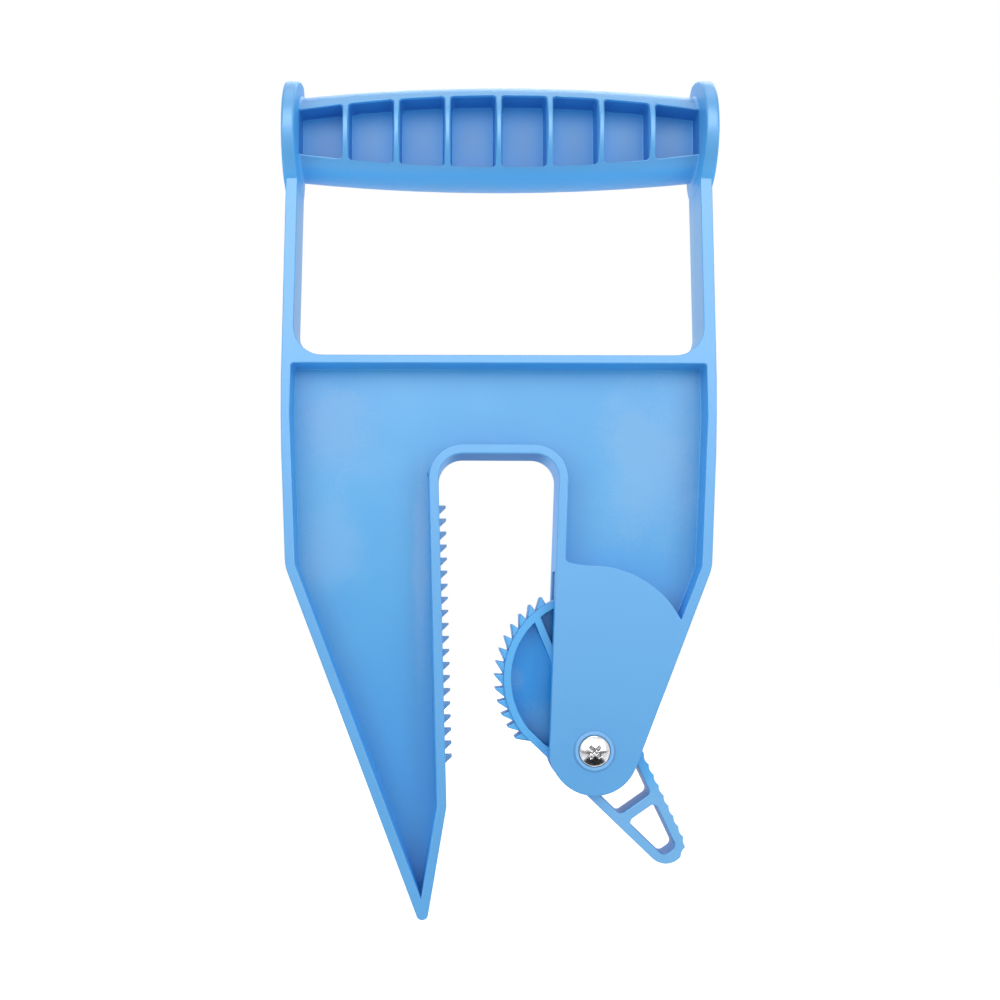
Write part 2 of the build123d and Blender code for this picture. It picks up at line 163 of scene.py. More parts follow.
# Colours, linear
PLASTIC_DEEP = (0.008, 0.243, 0.590, 1.0)
PLASTIC_LIGHT = (0.030, 0.296, 0.602, 1.0)
# The side walls' colour: a brighter copy of the faces' colour below it, painted bounce light
PLASTIC_SIDE_LIT = (0.060, 0.365, 0.790, 1.0)
PLASTIC_FACE = (0.074, 0.315, 0.640, 1.0)
# A painted highlight for the rounded edges and the collar's top
PLASTIC_EDGE_HIGHLIGHT = (0.380, 0.640, 0.920, 1.0)
# Pale haze, for the spots of painted sheen, the scuff on the cam and the painted glow on the pocket floors
PLASTIC_HAZE_AND_SHEEN = (0.125, 0.338, 0.605, 1.0)
# Painted shade, under the slot's top and at the collar's foot
PLASTIC_PAINTED_SHADE = (0.060, 0.200, 0.440, 1.0)
# Painted shade on the rack's teeth
PLASTIC_RACK_SHADE = (0.130, 0.260, 0.460, 1.0)
PLASTIC_BLUSH = (0.300, 0.520, 0.820, 1.0)
# A pale tint: a painted reflection on the posts' inner faces, and the lever's paler tone
PLASTIC_PALE = (0.150, 0.385, 0.680, 1.0)
# Painted shade in the grip's pockets, for their floors and their walls
POCKET_FLOOR = (0.012, 0.270, 0.665, 1.0)
POCKET_SHADE = (0.018, 0.185, 0.560, 1.0)
CAM_DEEP = (0.010, 0.256, 0.680, 1.0)
CAM_LIGHT = (0.016, 0.297, 0.722, 1.0)
# The cam's side walls: a darker copy of its faces' colour below it, painted shade
CAM_SIDE_SHADED = (0.030, 0.220, 0.560, 1.0)
CAM_FACE = (0.072, 0.362, 0.715, 1.0)
ZINC = (0.780, 0.780, 0.790, 1.0)
ZINC_DULL = (0.560, 0.560, 0.575, 1.0)
NYLON = (0.780, 0.780, 0.740, 1.0)
NYLON_WORN = (0.640, 0.640, 0.600, 1.0)
PAPER = (0.90, 0.90, 0.90, 1.0)
WHITE = (1.0, 1.0, 1.0, 1.0)

# The two plastics: patches of tone per metre, tones of webs, side walls and faces, spots of haze and painted
# sheen, and gloss. The side walls' tone is the face tone with painted light: lighter on the frame, darker on
# the cam
FRAME_FINISH = {
    "patch": 26.0,
    "tones": (PLASTIC_DEEP, PLASTIC_LIGHT, PLASTIC_SIDE_LIT, PLASTIC_FACE),
    "spots": WEB_HAZE_AND_SHEEN_SPOTS,
    "floor_rough": 0.46,
    "shine": 0.6,
}
CAM_FINISH = {
    "patch": 34.0,
    "tones": (CAM_DEEP, CAM_LIGHT, CAM_SIDE_SHADED, CAM_FACE),
    "spots": CAM_SCUFF_AND_SHEEN_SPOTS,
    "floor_rough": 0.28,
    "shine": 0.38,
}

# How squarely a face looks to the front, from a side wall to a face
FACING = (0.45, 0.85)

# Roughness of the plastics' faces and side walls, and what each effect adds to it
RIM_ROUGH = 0.36
SIDE_ROUGH = 0.48
DRIFT_ROUGH = -0.04
HAZE_AND_SHEEN_ROUGH = 0.10
EDGE_ROUGH = -0.12

# How strongly the plastics' effects show in their colour
TONE_BY_DRIFT = 0.4
SHADE_BY_HEIGHT = 0.6
SIDE_DRIFT = 0.45
HIGHLIGHT_DRIFT = 0.30
HIGHLIGHT_LEAST = 0.55
LINE_TINT = 0.12

# Relief of the plastics: the parting line over the grain, and the strength and depth of both
LINE_RELIEF = 1.2
GRAIN_BUMP = 0.35
GRAIN_DEPTH = 0.03 * MM

# Pockets and the other marks: painted shade in the pockets, under the slot's top, at the collar's foot and
# on the rack, a painted glow on the pocket floors, a painted highlight on the collar, a painted reflection
# on the posts, a duller sill and a paler lever. The share of tint in each, and what it adds to the roughness
POCKET_TINT = 0.85
POCKET_GLOW = 0.40
POCKET_ROUGH = 0.09
SLOT_TINT = 0.75
SLOT_ROUGH = 0.35
SILL_ROUGH = 0.34
POST_SHEEN_TINT = 1.0
RING_TINT = 0.22
FOOT_TINT = 0.45
RACK_SHADE_TINT = 0.65
RACK_ROUGH = 0.15
LEVER_TINT = 0.9

# Plated steel: roughness and relief of each fastener, what blotches and rings add, and the rings' depth
SCREW_ROUGH = 0.10
SCREW_RELIEF = 0.25
NUT_ROUGH = 0.24
NUT_RELIEF = 0.45
BLOTCH_ROUGH = 0.10
RINGS_ROUGH = 0.06
RINGS_DEPTH = 0.01 * MM

# Nylon: patches and grain per metre, roughness and what the drift adds to it, and the grain's relief
NYLON_PATCH = 600.0
NYLON_GRAIN = 4000.0
NYLON_FROST = 300.0
NYLON_ROUGH = 0.45
NYLON_DRIFT_ROUGH = 0.12
NYLON_BUMP = 0.3
NYLON_DEPTH = 0.02 * MM

# Grain outside its stronger patches, and how far clouds and speckle fray a spot of haze and painted sheen
GRAIN_LEAST = 0.25
SPOT_CLOUDS = 0.9
SPOT_SPECKLE = 0.22


# Meshes

def take_copy(node_name, name):
    """A merged copy of a CAD node's mesh, with its sharp edges selected."""
    mesh = frame["nodes"][node_name].data.copy()
    mesh.name = name
    mesh.materials.clear()
    piece = bpy.data.objects.new(name, mesh)
    bpy.context.scene.collection.objects.link(piece)
    bpy.ops.object.select_all(action="DESELECT")
    bpy.context.view_layer.objects.active = piece
    piece.select_set(True)
    bpy.ops.object.mode_set(mode="EDIT")
    bpy.ops.mesh.select_all(action="SELECT")
    bpy.ops.mesh.remove_doubles(threshold=MERGE)
    bpy.ops.mesh.dissolve_limited(angle_limit=FLAT)
    bpy.ops.mesh.select_all(action="DESELECT")
    bpy.ops.mesh.select_mode(type="EDGE")
    bpy.ops.mesh.edges_select_sharp(sharpness=SHARP)
    bpy.ops.object.mode_set(mode="OBJECT")
    return piece


def mark_edges(mesh):
    """Marks the rounded outer edges with a face attribute, where the materials paint a highlight."""
    faces = bmesh.new()
    faces.from_mesh(mesh)
    layer = faces.faces.layers.float.new(EDGE_LAYER)
    for face in faces.faces:
        middle = face.calc_center_median()
        rise = 0.0
        for edge in face.edges:
            for other in edge.link_faces:
                rise += (other.calc_center_median() - middle).dot(face.normal)
        face[layer] = 1.0 if face.material_index == BEVEL_MARK and rise < 0 else 0.0
        face.material_index = 0
    faces.to_mesh(mesh)
    faces.free()


def mark_facing(mesh):
    """Stores how squarely each corner of a face looks to the front or the back, from 0 to 1."""
    layer = mesh.attributes.new(FACING_LAYER, "FLOAT", "CORNER")
    for corner, normal in enumerate(mesh.corner_normals):
        layer.data[corner].value = abs(normal.vector.y)


def round_edges(piece, widest, share):
    """Bevels the selected edges. share gives an edge's part of the widest bevel, from its middle in mm."""
    mesh = piece.data
    weights = mesh.attributes.new("bevel_weight_edge", "FLOAT", "EDGE")
    for edge in mesh.edges:
        if edge.select:
            first, second = (mesh.vertices[i].co for i in edge.vertices)
            weights.data[edge.index].value = share((first + second) / 2 / MM)
    bevel = piece.modifiers.new("rounding", "BEVEL")
    bevel.limit_method = "WEIGHT"
    bevel.width = widest
    bevel.segments = BEVEL_ROWS
    bevel.use_clamp_overlap = False
    bevel.miter_outer = "MITER_SHARP"
    bevel.material = BEVEL_MARK
    bpy.ops.object.modifier_apply(modifier="rounding")
    mark_edges(mesh)
    bpy.ops.object.shade_smooth_by_angle(angle=SMOOTH)
    normals = piece.modifiers.new("flats", "WEIGHTED_NORMAL")
    normals.keep_sharp = True
    bpy.ops.object.modifier_apply(modifier="flats")
    mark_facing(mesh)


def flange_share(x, y, z):
    """The flanges' rims taper into the posts. The grip's ends blend into the flanges all round."""
    round_grip = (y / GRIP_END_DEPTH) ** 2 + (z / GRIP_END_HEIGHT) ** 2
    if x < FLANGE_MIDDLE and round_grip < GRIP_INSIDE:
        return EDGE_SHARE
    if x < FLANGE_MIDDLE and round_grip < GRIP_OUTLINE:
        return RIM_SHARE
    taper = (z - RIM_TAPER_LOW) / (RIM_TAPER_TOP - RIM_TAPER_LOW)
    if x > FLANGE_OUTER:
        return max(EDGE_SHARE, min(RIM_SHARE, taper))
    return max(0.0, min(RIM_SHARE, taper))


def frame_share(place):
    """Wide on the flanges' rims, fine on the rack and the pivot's collars, and even elsewhere."""
    x, y, z = place
    if abs(x) > FLANGE_INNER and z > POST_RUNOUT:
        return flange_share(abs(x), y, z)
    if x < RACK_X and RACK_LOW < z < RACK_TOP and abs(y) < RACK_HALF:
        return RACK_SHARE
    if math.hypot(x - PIVOT.x / MM, z - PIVOT.z / MM) < COLLAR_REACH:
        return COLLAR_SHARE
    return EDGE_SHARE


def even_share(place):
    """The widest bevel on every edge."""
    return 1.0


# Shader nodes

Axes = namedtuple("Axes", "x y z")


def node(tree, kind, **settings):
    """A node with its properties set."""
    made = tree.nodes.new(kind)
    for key, setting in settings.items():
        setattr(made, key, setting)
    return made


def wire(tree, source, target):
    """A link from an output to an input."""
    tree.links.new(source, target)


def feed(tree, value, target):
    """Sets an input to a number or a colour, or links an output to it."""
    if isinstance(value, (int, float, tuple)):
        target.default_value = value
    else:
        wire(tree, value, target)


def maths(tree, operation, *values, clamp=False):
    """A Math node. Its inputs are numbers or sockets."""
    made = node(tree, "ShaderNodeMath", operation=operation, use_clamp=clamp)
    for target, value in zip(made.inputs, values):
        feed(tree, value, target)
    return made.outputs[0]


def all_of(tree, first, *others):
    """The product of several masks."""
    product = first
    for mask in others:
        product = maths(tree, "MULTIPLY", product, mask)
    return product


def below(tree, value, limit):
    """1 where a value is under a limit, and 0 elsewhere."""
    return maths(tree, "LESS_THAN", value, limit)


def above(tree, value, limit):
    """1 where a value is over a limit, and 0 elsewhere."""
    return maths(tree, "GREATER_THAN", value, limit)


def near(tree, value, middle, reach):
    """1 where a value is within reach of a middle, and 0 elsewhere."""
    return maths(tree, "COMPARE", value, middle, reach)


def blend_colour(tree, factor, first, second):
    """A colour mix. Its inputs are colours or sockets."""
    made = node(tree, "ShaderNodeMix", data_type="RGBA")
    for place, value in ((0, factor), (6, first), (7, second)):
        feed(tree, value, made.inputs[place])
    return made.outputs[2]


def ramp(tree, value, low, high):
    """0 at low, 1 at high, eased between."""
    made = node(tree, "ShaderNodeMapRange", interpolation_type="SMOOTHSTEP")
    wire(tree, value, made.inputs["Value"])
    feed(tree, low, made.inputs["From Min"])
    feed(tree, high, made.inputs["From Max"])
    return made.outputs["Result"]


def flip(tree, mask):
    """A mask turned round."""
    return maths(tree, "SUBTRACT", 1.0, mask)


def noise(tree, place, scale, detail, rough=0.5):
    """Noise through the whole solid. Its scale is a number or a socket."""
    made = node(tree, "ShaderNodeTexNoise")
    made.inputs["Detail"].default_value = detail
    made.inputs["Roughness"].default_value = rough
    wire(tree, place, made.inputs["Vector"])
    feed(tree, scale, made.inputs["Scale"])
    return made.outputs["Fac"]


def split(tree, place):
    """The X, Y and Z of a place."""
    parts = node(tree, "ShaderNodeSeparateXYZ")
    wire(tree, place, parts.inputs[0])
    return Axes(*parts.outputs)


def attribute(tree, name):
    """A value that the mesh carries."""
    return node(tree, "ShaderNodeAttribute", attribute_name=name).outputs["Fac"]


def pivot_radius(tree, axes):
    """Distance from the pivot's axis."""
    aside = maths(tree, "SUBTRACT", axes.x, PIVOT.x)
    upward = maths(tree, "SUBTRACT", axes.z, PIVOT.z)
    square = maths(tree, "MULTIPLY_ADD", aside, aside, maths(tree, "MULTIPLY", upward, upward))
    return maths(tree, "SQRT", square)


# Shader node groups

def new_group(name, inputs, outputs):
    """An empty node group with its sockets, and its input and output nodes."""
    group = bpy.data.node_groups.new(name, "ShaderNodeTree")
    for label, kind, default in inputs:
        socket = group.interface.new_socket(label, in_out="INPUT", socket_type=kind)
        if default is not None:
            socket.default_value = default
    for label, kind in outputs:
        group.interface.new_socket(label, in_out="OUTPUT", socket_type=kind)
    start = group.nodes.new("NodeGroupInput")
    end = group.nodes.new("NodeGroupOutput")
    return group, start.outputs, end.inputs


def make_tone_drift():
    """Soft patches of lighter and deeper colour, as a moulding's flow leaves them."""
    group, given, results = new_group(
        "tone_drift",
        [
            ("Place", "NodeSocketVector", None),
            ("Patch", "NodeSocketFloat", 28.0),
            ("Low", "NodeSocketFloat", 0.35),
            ("High", "NodeSocketFloat", 0.70),
        ],
        [("Drift", "NodeSocketFloat")],
    )
    patches = noise(group, given["Place"], given["Patch"], detail=2.0, rough=0.45)
    wire(group, ramp(group, patches, given["Low"], given["High"]), results["Drift"])
    return group


def make_mould_grain():
    """The fine satin grain of the mould, stronger in patches."""
    group, given, results = new_group(
        "mould_grain",
        [
            ("Place", "NodeSocketVector", None),
            ("Grain", "NodeSocketFloat", 2600.0),
            ("Patch", "NodeSocketFloat", 45.0),
        ],
        [("Height", "NodeSocketFloat"), ("Speckle", "NodeSocketFloat")],
    )
    grain = noise(group, given["Place"], given["Grain"], detail=3.0)
    patches = noise(group, given["Place"], given["Patch"], detail=1.0)
    frost = ramp(group, patches, low=0.42, high=0.66)
    strength = maths(group, "MULTIPLY_ADD", frost, 1.0 - GRAIN_LEAST, GRAIN_LEAST)
    wire(group, maths(group, "MULTIPLY", grain, strength), results["Height"])
    wire(group, ramp(group, grain, low=0.38, high=0.62), results["Speckle"])
    return group


def make_haze_and_sheen_spot():
    """A soft, ragged patch of haze and painted sheen round a centre, the same through the whole thickness.
    """
    group, given, results = new_group(
        "haze_and_sheen_spot",
        [
            ("Place", "NodeSocketVector", None),
            ("Centre", "NodeSocketVector", None),
            ("Reach", "NodeSocketVector", None),
            ("Speckle", "NodeSocketFloat", 0.5),
        ],
        [("Haze and sheen", "NodeSocketFloat")],
    )
    offset = node(group, "ShaderNodeVectorMath", operation="SUBTRACT")
    wire(group, given["Place"], offset.inputs[0])
    wire(group, given["Centre"], offset.inputs[1])
    share = node(group, "ShaderNodeVectorMath", operation="DIVIDE")
    wire(group, offset.outputs["Vector"], share.inputs[0])
    wire(group, given["Reach"], share.inputs[1])
    length = node(group, "ShaderNodeVectorMath", operation="LENGTH")
    wire(group, share.outputs["Vector"], length.inputs[0])
    clouds = noise(group, given["Place"], scale=75.0, detail=3.0)
    ragged = maths(group, "MULTIPLY_ADD", clouds, SPOT_CLOUDS, length.outputs["Value"])
    ragged = maths(group, "MULTIPLY_ADD", given["Speckle"], SPOT_SPECKLE, ragged)
    wire(group, flip(group, ramp(group, ragged, low=0.85, high=1.75)), results["Haze and sheen"])
    return group


def make_parting_line():
    """The mould's parting line: a fine raised witness along the middle plane."""
    group, given, results = new_group(
        "parting_line",
        [
            ("Place", "NodeSocketVector", None),
            ("Half width", "NodeSocketFloat", 0.09 * MM),
        ],
        [("Line", "NodeSocketFloat")],
    )
    depth = maths(group, "ABSOLUTE", split(group, given["Place"]).y)
    wire(group, flip(group, ramp(group, depth, 0.0, given["Half width"])), results["Line"])
    return group


def make_web_floor():
    """Finds the floors of the recesses, which are near the middle plane."""
    group, given, results = new_group(
        "web_floor",
        [
            ("Place", "NodeSocketVector", None),
            ("Floor", "NodeSocketFloat", 1.3 * MM),
            ("Wall", "NodeSocketFloat", 1.9 * MM),
        ],
        [("Floor", "NodeSocketFloat")],
    )
    depth = maths(group, "ABSOLUTE", split(group, given["Place"]).y)
    wire(group, flip(group, ramp(group, depth, given["Floor"], given["Wall"])), results["Floor"])
    return group


def make_turning_marks():
    """Rings left by turning or plating, round an axis along Y through the pivot."""
    group, given, results = new_group(
        "turning_marks",
        [
            ("Place", "NodeSocketVector", None),
            ("Rings", "NodeSocketFloat", 5200.0),
            ("Blotch", "NodeSocketFloat", 420.0),
        ],
        [("Rings", "NodeSocketFloat"), ("Blotch", "NodeSocketFloat")],
    )
    radius = pivot_radius(group, split(group, given["Place"]))
    rings = node(group, "ShaderNodeTexNoise", noise_dimensions="1D")
    rings.inputs["Detail"].default_value = 2.0
    wire(group, radius, rings.inputs["W"])
    wire(group, given["Rings"], rings.inputs["Scale"])
    blotch = noise(group, given["Place"], given["Blotch"], detail=4.0)
    wire(group, rings.outputs["Fac"], results["Rings"])
    wire(group, ramp(group, blotch, low=0.35, high=0.65), results["Blotch"])
    return group


TONE_DRIFT = make_tone_drift()
MOULD_GRAIN = make_mould_grain()
PARTING_LINE = make_parting_line()
WEB_FLOOR = make_web_floor()
HAZE_AND_SHEEN_SPOT = make_haze_and_sheen_spot()
TURNING_MARKS = make_turning_marks()


# Materials

Plastic = namedtuple("Plastic", "material tree shader axes floor front colour rough")


def new_material(name):
    """A material with its Principled shader and its Object coordinates."""
    material = bpy.data.materials.new(name)
    material.use_nodes = True
    tree = material.node_tree
    shader = tree.nodes["Principled BSDF"]
    place = node(tree, "ShaderNodeTexCoord").outputs["Object"]
    return material, tree, shader, place


def use_group(tree, group, place, **values):
    """The outputs of a group placed in a material, with its own values."""
    made = node(tree, "ShaderNodeGroup", node_tree=group)
    wire(tree, place, made.inputs["Place"])
    for label, value in values.items():
        feed(tree, value, made.inputs[label])
    return made.outputs


def bump(tree, shader, height, strength, distance):
    """Height to the shader's normal."""
    made = node(tree, "ShaderNodeBump")
    made.inputs["Strength"].default_value = strength
    made.inputs["Distance"].default_value = distance
    wire(tree, height, made.inputs["Height"])
    wire(tree, made.outputs["Normal"], shader.inputs["Normal"])


def haze_and_sheen_spots(tree, place, speckle, spots):
    """The sum of several spots of haze and painted sheen. Each is its centre, its reach and its strength, in
    mm on X and Z.
    """
    total = 0.0
    for x, z, wide, tall, strength in spots:
        centre = (x * MM, 0.0, z * MM)
        reach = (wide * MM, 1.0, tall * MM)
        haze_and_sheen = use_group(tree, HAZE_AND_SHEEN_SPOT, place, Centre=centre, Reach=reach, Speckle=speckle)["Haze and sheen"]
        total = maths(tree, "MULTIPLY_ADD", haze_and_sheen, strength, total, clamp=True)
    return total


def moulded_plastic(name, patch, tones, spots, floor_rough, shine):
    """Satin plastic: drift of tone, painted shade down the recess floors with spots of haze and painted
    sheen on them, side walls in a copy of the face colour with painted light, painted highlights on the
    rounded edges, grain and a parting line.
    """
    material, tree, shader, place = new_material(name)
    deep, light, side, face = tones
    axes = split(tree, place)
    drift = use_group(tree, TONE_DRIFT, place, Patch=patch)["Drift"]
    grain = use_group(tree, MOULD_GRAIN, place)
    line = use_group(tree, PARTING_LINE, place)["Line"]
    front = ramp(tree, attribute(tree, FACING_LAYER), *FACING)
    floor = all_of(tree, use_group(tree, WEB_FLOOR, place)["Floor"], front)
    haze_and_sheen = all_of(tree, haze_and_sheen_spots(tree, place, grain["Speckle"], spots), floor)
    # Painted highlight on the rounded outer edges, fainter where the drift is low
    highlight_share = maths(tree, "MULTIPLY_ADD", drift, HIGHLIGHT_DRIFT, HIGHLIGHT_LEAST)
    edge_highlight = all_of(tree, attribute(tree, EDGE_LAYER), highlight_share)

    # Painted light and shade: the recess floors lighter at the top and darker towards the bottom
    height = ramp(tree, axes.z, WEB_DARK, WEB_PALE)
    tone = maths(tree, "MULTIPLY", height, SHADE_BY_HEIGHT)
    tone = maths(tree, "MULTIPLY_ADD", drift, TONE_BY_DRIFT, tone)
    # Side walls take the side colour, the face colour with painted light; the drift mixes some face colour
    # into them
    paler = maths(tree, "MAXIMUM", front, maths(tree, "MULTIPLY", drift, SIDE_DRIFT))
    outer = blend_colour(tree, paler, side, face)
    colour = blend_colour(tree, floor, outer, blend_colour(tree, tone, deep, light))
    # Spots of haze and painted sheen on the recess floors
    colour = blend_colour(tree, haze_and_sheen, colour, PLASTIC_HAZE_AND_SHEEN)
    colour = blend_colour(tree, edge_highlight, colour, PLASTIC_EDGE_HIGHLIGHT)
    colour = blend_colour(tree, maths(tree, "MULTIPLY", line, LINE_TINT), colour, PLASTIC_BLUSH)

    rough = maths(tree, "MULTIPLY_ADD", front, RIM_ROUGH - SIDE_ROUGH, SIDE_ROUGH)
    rough = maths(tree, "MULTIPLY_ADD", floor, floor_rough - RIM_ROUGH, rough)
    rough = maths(tree, "MULTIPLY_ADD", drift, DRIFT_ROUGH, rough)
    rough = maths(tree, "MULTIPLY_ADD", haze_and_sheen, HAZE_AND_SHEEN_ROUGH, rough)
    rough = maths(tree, "MULTIPLY_ADD", edge_highlight, EDGE_ROUGH, rough)

    relief = maths(tree, "MULTIPLY_ADD", line, LINE_RELIEF, grain["Height"])
    bump(tree, shader, relief, GRAIN_BUMP, GRAIN_DEPTH)
    shader.inputs["Specular IOR Level"].default_value = shine
    return Plastic(material, tree, shader, axes, floor, front, colour, rough)


def tint(plastic, mask, strength, target):
    """The plastic with its colour moved towards a target where the mask is."""
    share = maths(plastic.tree, "MULTIPLY", mask, strength)
    return plastic._replace(colour=blend_colour(plastic.tree, share, plastic.colour, target))


def dull(plastic, mask, amount):
    """The plastic with more roughness where the mask is."""
    return plastic._replace(rough=maths(plastic.tree, "MULTIPLY_ADD", mask, amount, plastic.rough))


def dress(plastic):
    """The material, with the plastic's colour and roughness wired to its shader."""
    wire(plastic.tree, plastic.colour, plastic.shader.inputs["Base Color"])
    wire(plastic.tree, plastic.rough, plastic.shader.inputs["Roughness"])
    return plastic.material


def pocket_shade_and_glow(plastic, across, depth, height):
    """Painted shade inside the grip's pockets, with a painted glow in the middle of each floor."""
    tree = plastic.tree
    fall = maths(tree, "MULTIPLY", maths(tree, "MULTIPLY", across, across), -POCKET_FALL)
    edge = maths(tree, "ADD", fall, POCKET_MID)
    pocket = all_of(
        tree,
        below(tree, height, edge),
        below(tree, depth, POCKET_MOUTH),
        below(tree, across, POCKET_END),
    )
    off_rib = maths(tree, "PINGPONG", plastic.axes.x, POCKET_PITCH / 2)
    middle = all_of(
        tree,
        ramp(tree, off_rib, 0.0, POCKET_PITCH / 2),
        ramp(tree, height, POCKET_SPOT, 0.0),
    )
    paler = maths(tree, "MULTIPLY", middle, POCKET_GLOW)
    bottom = blend_colour(tree, paler, POCKET_FLOOR, PLASTIC_HAZE_AND_SHEEN)
    inside = blend_colour(tree, plastic.floor, POCKET_SHADE, bottom)
    plastic = tint(plastic, pocket, POCKET_TINT, inside)
    return dull(plastic, pocket, POCKET_ROUGH)


def slot_top_shade(plastic, across, depth):
    """A darker, duller top of the slot: painted shade on the slot's top, with more roughness."""
    tree = plastic.tree
    z = plastic.axes.z
    shaded = all_of(
        tree,
        ramp(tree, z, SLOT_TOP - SLOT_CORNER, SLOT_TOP),
        below(tree, z, SLOT_TOP + SLOT_OVER),
        ramp(tree, across, SLOT_HALF, SLOT_FLAT),
        below(tree, depth, FRAME_FACE - FACE_MARGIN),
    )
    plastic = tint(plastic, shaded, SLOT_TINT, PLASTIC_PAINTED_SHADE)
    return dull(plastic, shaded, SLOT_ROUGH)


def window_faces(plastic, across, depth):
    """A duller lower face of the hand window, and a greyer, paler tint on the inner faces of the posts, a
    painted reflection of the pale surroundings at a glancing angle.
    """
    tree = plastic.tree
    z = plastic.axes.z
    window = all_of(
        tree,
        above(tree, z, SILL - SILL_UNDER),
        below(tree, across, SILL_HALF),
        below(tree, depth, FRAME_FACE - FACE_MARGIN),
    )
    sill = all_of(tree, ramp(tree, z, SILL + SILL_CORNER, SILL), window)
    post_sheen = all_of(tree, ramp(tree, z, POST_TOP, POST_LOW), window, above(tree, across, POST_INNER))
    plastic = dull(plastic, sill, SILL_ROUGH)
    return tint(plastic, post_sheen, POST_SHEEN_TINT, PLASTIC_PALE)


def collar_highlight_and_shadow(plastic):
    """A painted highlight on the collar's ring round the screw's head, and a painted shadow line at its
    foot.
    """
    tree = plastic.tree
    y = plastic.axes.y
    radius = pivot_radius(tree, plastic.axes)
    ring = all_of(tree, near(tree, radius, *COLLAR_RING), below(tree, y, -FRAME_FACE - COLLAR_MARGIN))
    foot = all_of(tree, near(tree, radius, *COLLAR_FOOT), below(tree, y, -FRAME_FACE + COLLAR_MARGIN))
    plastic = tint(plastic, ring, RING_TINT, PLASTIC_EDGE_HIGHLIGHT)
    return tint(plastic, foot, FOOT_TINT, PLASTIC_PAINTED_SHADE)


def rack_shade(plastic, depth):
    """Darker, greyer, duller teeth on the rack: painted shade, as the teeth sit back in the slot."""
    tree = plastic.tree
    axes = plastic.axes
    proud = maths(tree, "MULTIPLY_ADD", axes.z, RACK_LEAN, axes.x)
    rack = all_of(
        tree,
        below(tree, depth, RACK_HALF * MM),
        near(tree, axes.x, *RACK_ACROSS),
        near(tree, axes.z, *RACK_ALONG),
        above(tree, proud, RACK_WALL),
    )
    plastic = tint(plastic, rack, RACK_SHADE_TINT, PLASTIC_RACK_SHADE)
    return dull(plastic, rack, RACK_ROUGH)


def frame_finish():
    """The frame's plastic, with painted shade in its pockets, under the slot's top, at the collar's foot and
    on the rack, a painted highlight on the collar, a painted reflection on the posts' inner faces, and a
    duller sill.
    """
    plastic = moulded_plastic("frame_plastic", **FRAME_FINISH)
    across, depth, height = (maths(plastic.tree, "ABSOLUTE", axis) for axis in plastic.axes)
    plastic = pocket_shade_and_glow(plastic, across, depth, height)
    plastic = slot_top_shade(plastic, across, depth)
    plastic = window_faces(plastic, across, depth)
    plastic = collar_highlight_and_shadow(plastic)
    plastic = rack_shade(plastic, depth)
    return dress(plastic)


def cam_finish():
    """The cam's plastic, with a scuff and a spot of painted sheen on its glossier web, and a paler lever."""
    plastic = moulded_plastic("cam_plastic", **CAM_FINISH)
    lever = ramp(plastic.tree, plastic.axes.z, LEVER_TOP, LEVER_LOW)
    lever = all_of(plastic.tree, lever, plastic.front)
    return dress(tint(plastic, lever, LEVER_TINT, PLASTIC_PALE))


def plated_steel(name, rough, relief):
    """Zinc plating: fine rings from turning, and slightly duller blotches."""
    material, tree, shader, place = new_material(name)
    marks = use_group(tree, TURNING_MARKS, place)
    wire(tree, blend_colour(tree, marks["Blotch"], ZINC, ZINC_DULL), shader.inputs["Base Color"])
    rough = maths(tree, "MULTIPLY_ADD", marks["Blotch"], BLOTCH_ROUGH, rough)
    rough = maths(tree, "MULTIPLY_ADD", marks["Rings"], RINGS_ROUGH, rough)
    wire(tree, rough, shader.inputs["Roughness"])
    shader.inputs["Metallic"].default_value = 1.0
    bump(tree, shader, marks["Rings"], relief, RINGS_DEPTH)
    return material


def natural_nylon(name):
    """Milky nylon, a little worn."""
    material, tree, shader, place = new_material(name)
    drift = use_group(tree, TONE_DRIFT, place, Patch=NYLON_PATCH)["Drift"]
    grain = use_group(tree, MOULD_GRAIN, place, Grain=NYLON_GRAIN, Patch=NYLON_FROST)
    wire(tree, blend_colour(tree, drift, NYLON, NYLON_WORN), shader.inputs["Base Color"])
    rough = maths(tree, "MULTIPLY_ADD", drift, NYLON_DRIFT_ROUGH, NYLON_ROUGH)
    wire(tree, rough, shader.inputs["Roughness"])
    bump(tree, shader, grain["Height"], NYLON_BUMP, NYLON_DEPTH)
    return material


FRAME_PLASTIC = frame_finish()
CAM_PLASTIC = cam_finish()
SCREW_STEEL = plated_steel("screw_steel", SCREW_ROUGH, SCREW_RELIEF)
NUT_STEEL = plated_steel("nut_steel", NUT_ROUGH, NUT_RELIEF)
NUT_NYLON = natural_nylon("nut_nylon")


# Pieces

def finish_piece(node_name, name, body, material, widest, share):
    """A bevelled, dressed copy that stands for a CAD node."""
    piece = take_copy(node_name, name)
    round_edges(piece, widest, share)
    piece.data.materials.append(material)
    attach(piece, body)
    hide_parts(node_name)


finish_piece("frame", "frame_moulding", "carrier", FRAME_PLASTIC, FRAME_BEVEL, frame_share)
finish_piece("cam_lever", "cam_moulding", "cam", CAM_PLASTIC, CAM_BEVEL, even_share)
finish_piece("pivot_screw", "pan_head_screw", "carrier", SCREW_STEEL, SCREW_BEVEL, even_share)
finish_piece("lock_nut", "hex_lock_nut", "carrier", NUT_STEEL, NUT_BEVEL, even_share)
finish_piece("lock_nut_insert", "nylon_ring", "carrier", NUT_NYLON, RING_BEVEL, even_share)


# Stage: floor, dark cards, world, lights and camera

# Floor, what lifts it to white for the camera, the world's level as light, and the cards' height over it
FLOOR_HEIGHT = -0.2312
FLOOR_SIZE = 8.0
FLOOR_LIFT = 0.36
WORLD_LIGHT = 0.72
CARD_RISE = 2 * MM

